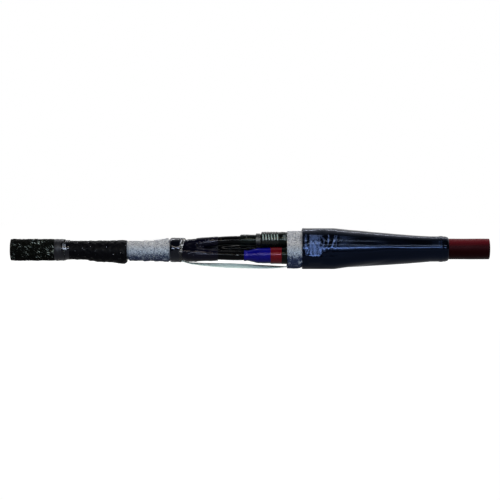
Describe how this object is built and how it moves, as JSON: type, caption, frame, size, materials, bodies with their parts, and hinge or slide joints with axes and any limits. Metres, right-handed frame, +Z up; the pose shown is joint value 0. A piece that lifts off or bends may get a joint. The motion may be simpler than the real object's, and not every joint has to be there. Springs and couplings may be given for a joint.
{
  "type": "transition cable joint",
  "caption": "Straight joint between a paper-insulated lead cable and a red-sheathed polymer cable, shown with the outer sleeve left off over one half.",
  "frame": {"origin": "under the middle of the joint: the centre of its box, on the surface that it lies on", "axes": "+X along the joint towards the red cable, +Z up, -Y towards the viewer of the cut-away side"},
  "size_m": [1.44, 0.1278, 0.1228],
  "materials": {
    "tarred_jute": "coarse fibres in bitumen, half dull",
    "bitumen_tape": "glossy, lumpy",
    "armour_steel": "dull galvanised tape",
    "bedding_paper": "bitumen-soaked, dull",
    "lead": "dull grey lead, bare",
    "cable_paper": "oiled",
    "copper_wire": "bright stranded copper",
    "spring_steel": "bright rolled band",
    "padding_tape": "matt foam tape",
    "tinned_mesh": "knitted tinned copper wire",
    "boot_black": "glossy heat-shrunk, wrinkled",
    "mastic": "soft, sticky",
    "core_tube_black": "rough glossy, wrinkled",
    "tube_blue": "satin gloss",
    "tube_red": "satin gloss",
    "tube_black": "gloss",
    "connector_metal": "tinned, satin",
    "bolt_brass": "sheared face",
    "ridged_tape": "glossy lapped tape",
    "sleeve_black": "glossy heat-shrunk, mesh showing through",
    "sealing_mastic": "squeezed bead",
    "core_insulation": "milky",
    "aluminium_wire": "stranded",
    "copper_screen": "lapped copper tape",
    "filler_black": "matt extruded filler",
    "sheath_red": "satin gloss"
  },
  "bodies": {
    "root": {"jute_serving": "tarred_jute", "serving_binding": "bitumen_tape", "armour_tape_wrap": "bitumen_tape", "steel_tape_armour": "armour_steel", "armour_bedding": "bedding_paper", "lead_sheath": "lead", "belt_paper": "cable_paper", "paper_filler": "cable_paper", "paper_insulation_top": "cable_paper", "paper_insulation_front": "cable_paper", "paper_insulation_rear": "cable_paper", "paper_conductor_top": "copper_wire", "paper_conductor_front": "copper_wire", "paper_conductor_rear": "copper_wire", "sheath_roll_spring": "spring_steel", "core_roll_spring": "spring_steel", "screen_roll_spring": "spring_steel", "sheath_padding": "padding_tape", "padding_wrap": "padding_tape", "sheath_mesh_wrap": "tinned_mesh", "mesh_band": "tinned_mesh", "earth_braid": "tinned_mesh", "crotch_band": "boot_black", "breakout_boot": "boot_black", "crotch_mastic": "mastic", "void_mastic_top": "mastic", "void_mastic_front": "mastic", "void_mastic_rear": "mastic", "core_tube_top": "core_tube_black", "core_tube_front": "core_tube_black", "core_tube_rear": "core_tube_black", "stress_tube_top": "tube_blue", "stress_tube_front": "tube_blue", "stress_tube_rear": "tube_blue", "insulating_tube_top": "tube_red", "insulating_tube_front": "tube_red", "insulating_tube_rear": "tube_red", "screened_tube_top": "tube_black", "screened_tube_front": "tube_black", "screened_tube_rear": "tube_black", "connector_top": "connector_metal", "connector_front": "connector_metal", "connector_rear": "connector_metal", "shear_bolts": "bolt_brass", "ridged_tape": "ridged_tape", "outer_sleeve": "sleeve_black", "sealing_mastic": "sealing_mastic", "polymer_insulation_top": "core_insulation", "polymer_insulation_front": "core_insulation", "polymer_insulation_rear": "core_insulation", "polymer_conductor_top": "aluminium_wire", "polymer_conductor_front": "aluminium_wire", "polymer_conductor_rear": "aluminium_wire", "core_screen_top": "copper_screen", "core_screen_front": "copper_screen", "core_screen_rear": "copper_screen", "polymer_filler": "filler_black", "red_sheath": "sheath_red"}
  },
  "joints": []
}
